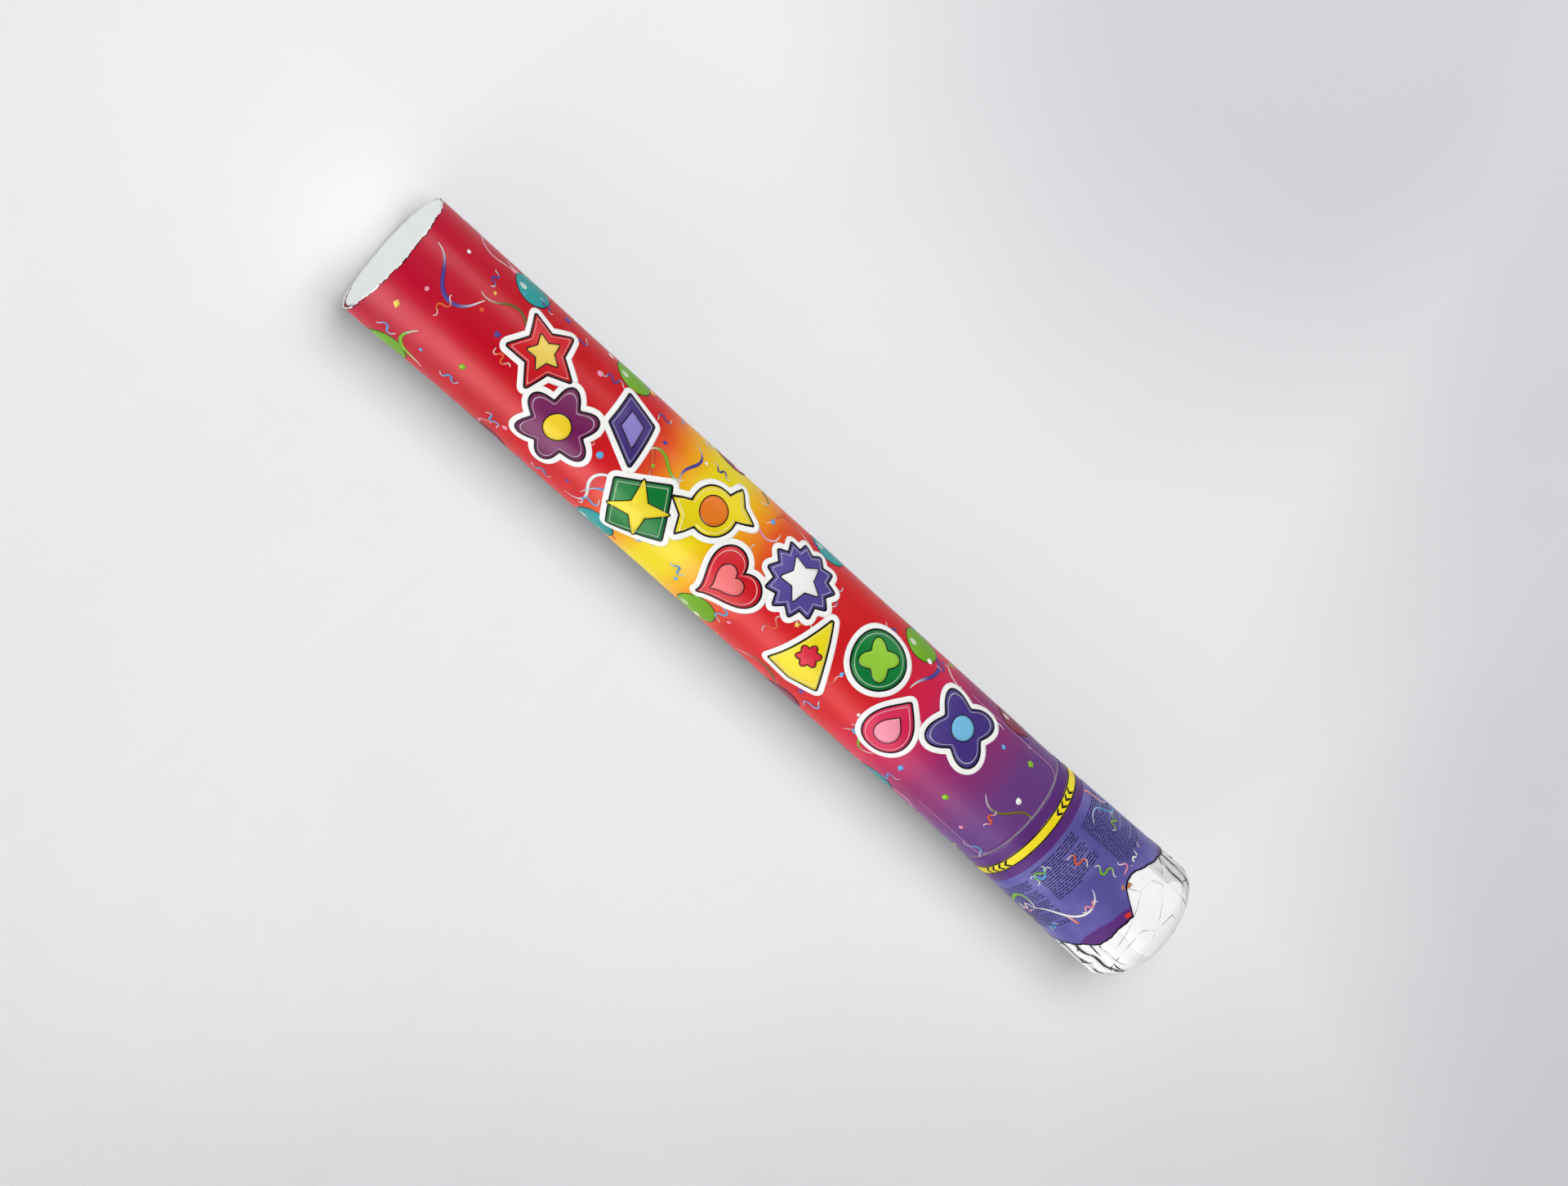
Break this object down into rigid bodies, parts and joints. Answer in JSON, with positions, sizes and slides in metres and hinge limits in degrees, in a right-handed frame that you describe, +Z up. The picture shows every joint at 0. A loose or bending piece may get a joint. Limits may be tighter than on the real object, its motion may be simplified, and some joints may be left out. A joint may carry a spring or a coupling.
{
  "type": "confetti popper",
  "caption": "Hand-held confetti popper: a printed card barrel with a lid, and a twist grip in foil and film that opens a gas valve to blow the paper out.",
  "frame": {"origin": "centre of the flat base face, on the tube axis", "axes": "+X along the tube axis from the base to the muzzle, +Z up as the popper lies on its side"},
  "size_m": [0.392, 0.0527, 0.0528],
  "materials": {
    "tube_board": "spiral-wound paper board",
    "barrel_film": "printed film, satin gloss",
    "white_moulding": "moulded polypropylene",
    "silver_foil": "crumpled bright foil",
    "grip_film": "printed film, satin gloss",
    "yellow_tape": "printed tape",
    "drawn_aluminium": "drawn, satin",
    "black_rubber": "moulded",
    "valve_moulding": "moulded acetal",
    "bright_steel": "ground",
    "wad_board": "pressed pulp board",
    "white_card": "coated white card",
    "red_tissue": "tissue paper",
    "yellow_tissue": "tissue paper",
    "green_tissue": "tissue paper",
    "blue_tissue": "tissue paper",
    "violet_tissue": "tissue paper",
    "orange_tissue": "tissue paper"
  },
  "bodies": {
    "barrel": {"barrel_tube": "tube_board", "barrel_wrap": "barrel_film", "breech_collar": "white_moulding"},
    "grip": {"grip_cup": "white_moulding", "base_foil": "silver_foil", "grip_wrap": "grip_film", "direction_band": "yellow_tape", "gas_bottle": "drawn_aluminium", "neck_gasket": "black_rubber", "valve_insert": "valve_moulding", "neck_ferrule": "drawn_aluminium", "cam_sleeve": "valve_moulding"},
    "plunger": {"valve_stem": "valve_moulding", "poppet_seal": "black_rubber", "cross_pin": "bright_steel", "return_spring": "bright_steel"},
    "charge": {"piston_wad": "wad_board", "confetti_red": "red_tissue", "confetti_yellow": "yellow_tissue", "confetti_green": "green_tissue", "confetti_blue": "blue_tissue", "confetti_violet": "violet_tissue", "confetti_orange": "orange_tissue"},
    "lid": {"muzzle_lid": "white_card"}
  },
  "joints": [
    {"name": "grip_twist", "type": "hinge", "parent": "barrel", "child": "grip", "pos_m": [0, 0, 0], "axis": [-1, 0, 0], "range_deg": [0, 75]},
    {"name": "valve_push", "type": "slide", "parent": "barrel", "child": "plunger", "axis": [-1, 0, 0], "range_m": [0, 0.0035], "deforming": ["return_spring"]},
    {"name": "charge_shot", "type": "slide", "parent": "barrel", "child": "charge", "axis": [1, 0, 0], "range_m": [0, 0.26]},
    {"name": "lid_pop", "type": "slide", "parent": "barrel", "child": "lid", "axis": [1, 0, 0], "range_m": [0, 0.26]}
  ],
  "couplings": [
    {"joint": "valve_push", "follows": "grip_twist", "m_per_rad": 0.002673},
    {"joint": "lid_pop", "follows": "charge_shot", "ratio": 1}
  ]
}
